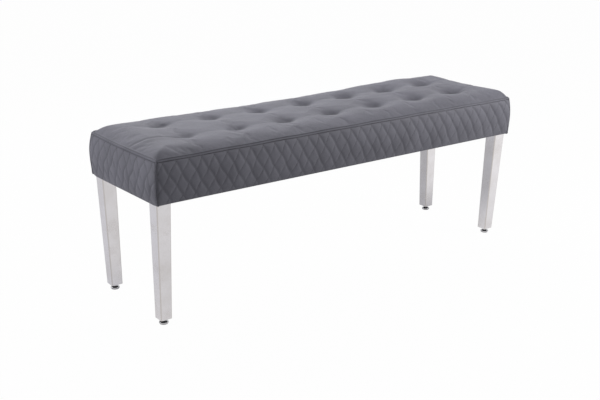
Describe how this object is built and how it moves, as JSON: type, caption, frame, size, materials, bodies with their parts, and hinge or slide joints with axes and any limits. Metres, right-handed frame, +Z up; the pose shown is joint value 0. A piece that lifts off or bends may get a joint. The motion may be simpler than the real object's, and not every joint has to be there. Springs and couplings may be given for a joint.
{
  "type": "waiting room bench",
  "caption": "Long backless bench: tufted leatherette cushion with diamond-quilted sides on tapered square steel tube legs that stand on screw-adjusted levelling feet.",
  "frame": {"origin": "centre of the overall box, on the floor under the levelling feet", "axes": "+X along the seat's length, +Y across its depth, +Z up; the pictured long side faces -Y"},
  "size_m": [1.3238, 0.3948, 0.4919],
  "materials": {
    "leatherette": "soft satin, fine grain",
    "dust_cloth": "matte",
    "wadding": "matte",
    "foam": "matte",
    "cord": "matte",
    "plywood": "raw",
    "softwood": "raw",
    "zinc_steel": "zinc plated",
    "leg_steel": "polished satin",
    "nylon": "matte",
    "chrome": "bright"
  },
  "bodies": {
    "bench": {"seat_top_panel": "leatherette", "side_band_front": "leatherette", "side_band_back": "leatherette", "side_band_left": "leatherette", "side_band_right": "leatherette", "cover_hem": "leatherette", "dust_cloth": "dust_cloth", "staples": "zinc_steel", "wadding_sheet": "wadding", "foam_core": "foam", "tuft_cords": "cord", "tuft_washers": "zinc_steel", "seat_deck": "plywood", "frame_rail_front": "softwood", "frame_rail_back": "softwood", "frame_rail_left": "softwood", "frame_rail_right": "softwood", "cross_brace_left": "softwood", "cross_brace_right": "softwood", "corner_block_front_left": "softwood", "corner_block_front_right": "softwood", "corner_block_back_left": "softwood", "corner_block_back_right": "softwood", "deck_screws": "zinc_steel", "rail_screws": "zinc_steel", "tee_nuts": "zinc_steel", "leg_bolts": "zinc_steel", "bolt_washers": "zinc_steel", "leg_plate_front_left": "zinc_steel", "leg_plate_front_right": "zinc_steel", "leg_plate_back_left": "zinc_steel", "leg_plate_back_right": "zinc_steel", "leg_front_left": "leg_steel", "leg_front_right": "leg_steel", "leg_back_left": "leg_steel", "leg_back_right": "leg_steel", "leg_plug_front_left": "nylon", "leg_plug_front_right": "nylon", "leg_plug_back_left": "nylon", "leg_plug_back_right": "nylon", "sleeve_front_left": "zinc_steel", "sleeve_front_right": "zinc_steel", "sleeve_back_left": "zinc_steel", "sleeve_back_right": "zinc_steel"},
    "foot_front_left": {"foot_base_front_left": "chrome", "foot_pad_front_left": "nylon"},
    "stud_front_left": {"foot_stud_front_left": "chrome"},
    "foot_front_right": {"foot_base_front_right": "chrome", "foot_pad_front_right": "nylon"},
    "stud_front_right": {"foot_stud_front_right": "chrome"},
    "foot_back_left": {"foot_base_back_left": "chrome", "foot_pad_back_left": "nylon"},
    "stud_back_left": {"foot_stud_back_left": "chrome"},
    "foot_back_right": {"foot_base_back_right": "chrome", "foot_pad_back_right": "nylon"},
    "stud_back_right": {"foot_stud_back_right": "chrome"}
  },
  "joints": [
    {"name": "foot_height_front_left", "type": "slide", "parent": "bench", "child": "foot_front_left", "axis": [0, 0, -1], "range_m": [-0.003, 0.012]},
    {"name": "stud_turn_front_left", "type": "hinge", "parent": "foot_front_left", "child": "stud_front_left", "pos_m": [-0.6215, -0.145, 0.009], "axis": [0, 0, -1], "range_deg": [-864.1, 3456.1]},
    {"name": "foot_height_front_right", "type": "slide", "parent": "bench", "child": "foot_front_right", "axis": [0, 0, -1], "range_m": [-0.003, 0.012]},
    {"name": "stud_turn_front_right", "type": "hinge", "parent": "foot_front_right", "child": "stud_front_right", "pos_m": [0.6215, -0.145, 0.009], "axis": [0, 0, -1], "range_deg": [-864.1, 3456.1]},
    {"name": "foot_height_back_left", "type": "slide", "parent": "bench", "child": "foot_back_left", "axis": [0, 0, -1], "range_m": [-0.003, 0.012]},
    {"name": "stud_turn_back_left", "type": "hinge", "parent": "foot_back_left", "child": "stud_back_left", "pos_m": [-0.6215, 0.145, 0.009], "axis": [0, 0, -1], "range_deg": [-864.1, 3456.1]},
    {"name": "foot_height_back_right", "type": "slide", "parent": "bench", "child": "foot_back_right", "axis": [0, 0, -1], "range_m": [-0.003, 0.012]},
    {"name": "stud_turn_back_right", "type": "hinge", "parent": "foot_back_right", "child": "stud_back_right", "pos_m": [0.6215, 0.145, 0.009], "axis": [0, 0, -1], "range_deg": [-864.1, 3456.1]}
  ],
  "couplings": [
    {"joint": "stud_turn_front_left", "follows": "foot_height_front_left", "rad_per_m": 5026.5},
    {"joint": "stud_turn_front_right", "follows": "foot_height_front_right", "rad_per_m": 5026.5},
    {"joint": "stud_turn_back_left", "follows": "foot_height_back_left", "rad_per_m": 5026.5},
    {"joint": "stud_turn_back_right", "follows": "foot_height_back_right", "rad_per_m": 5026.5}
  ]
}
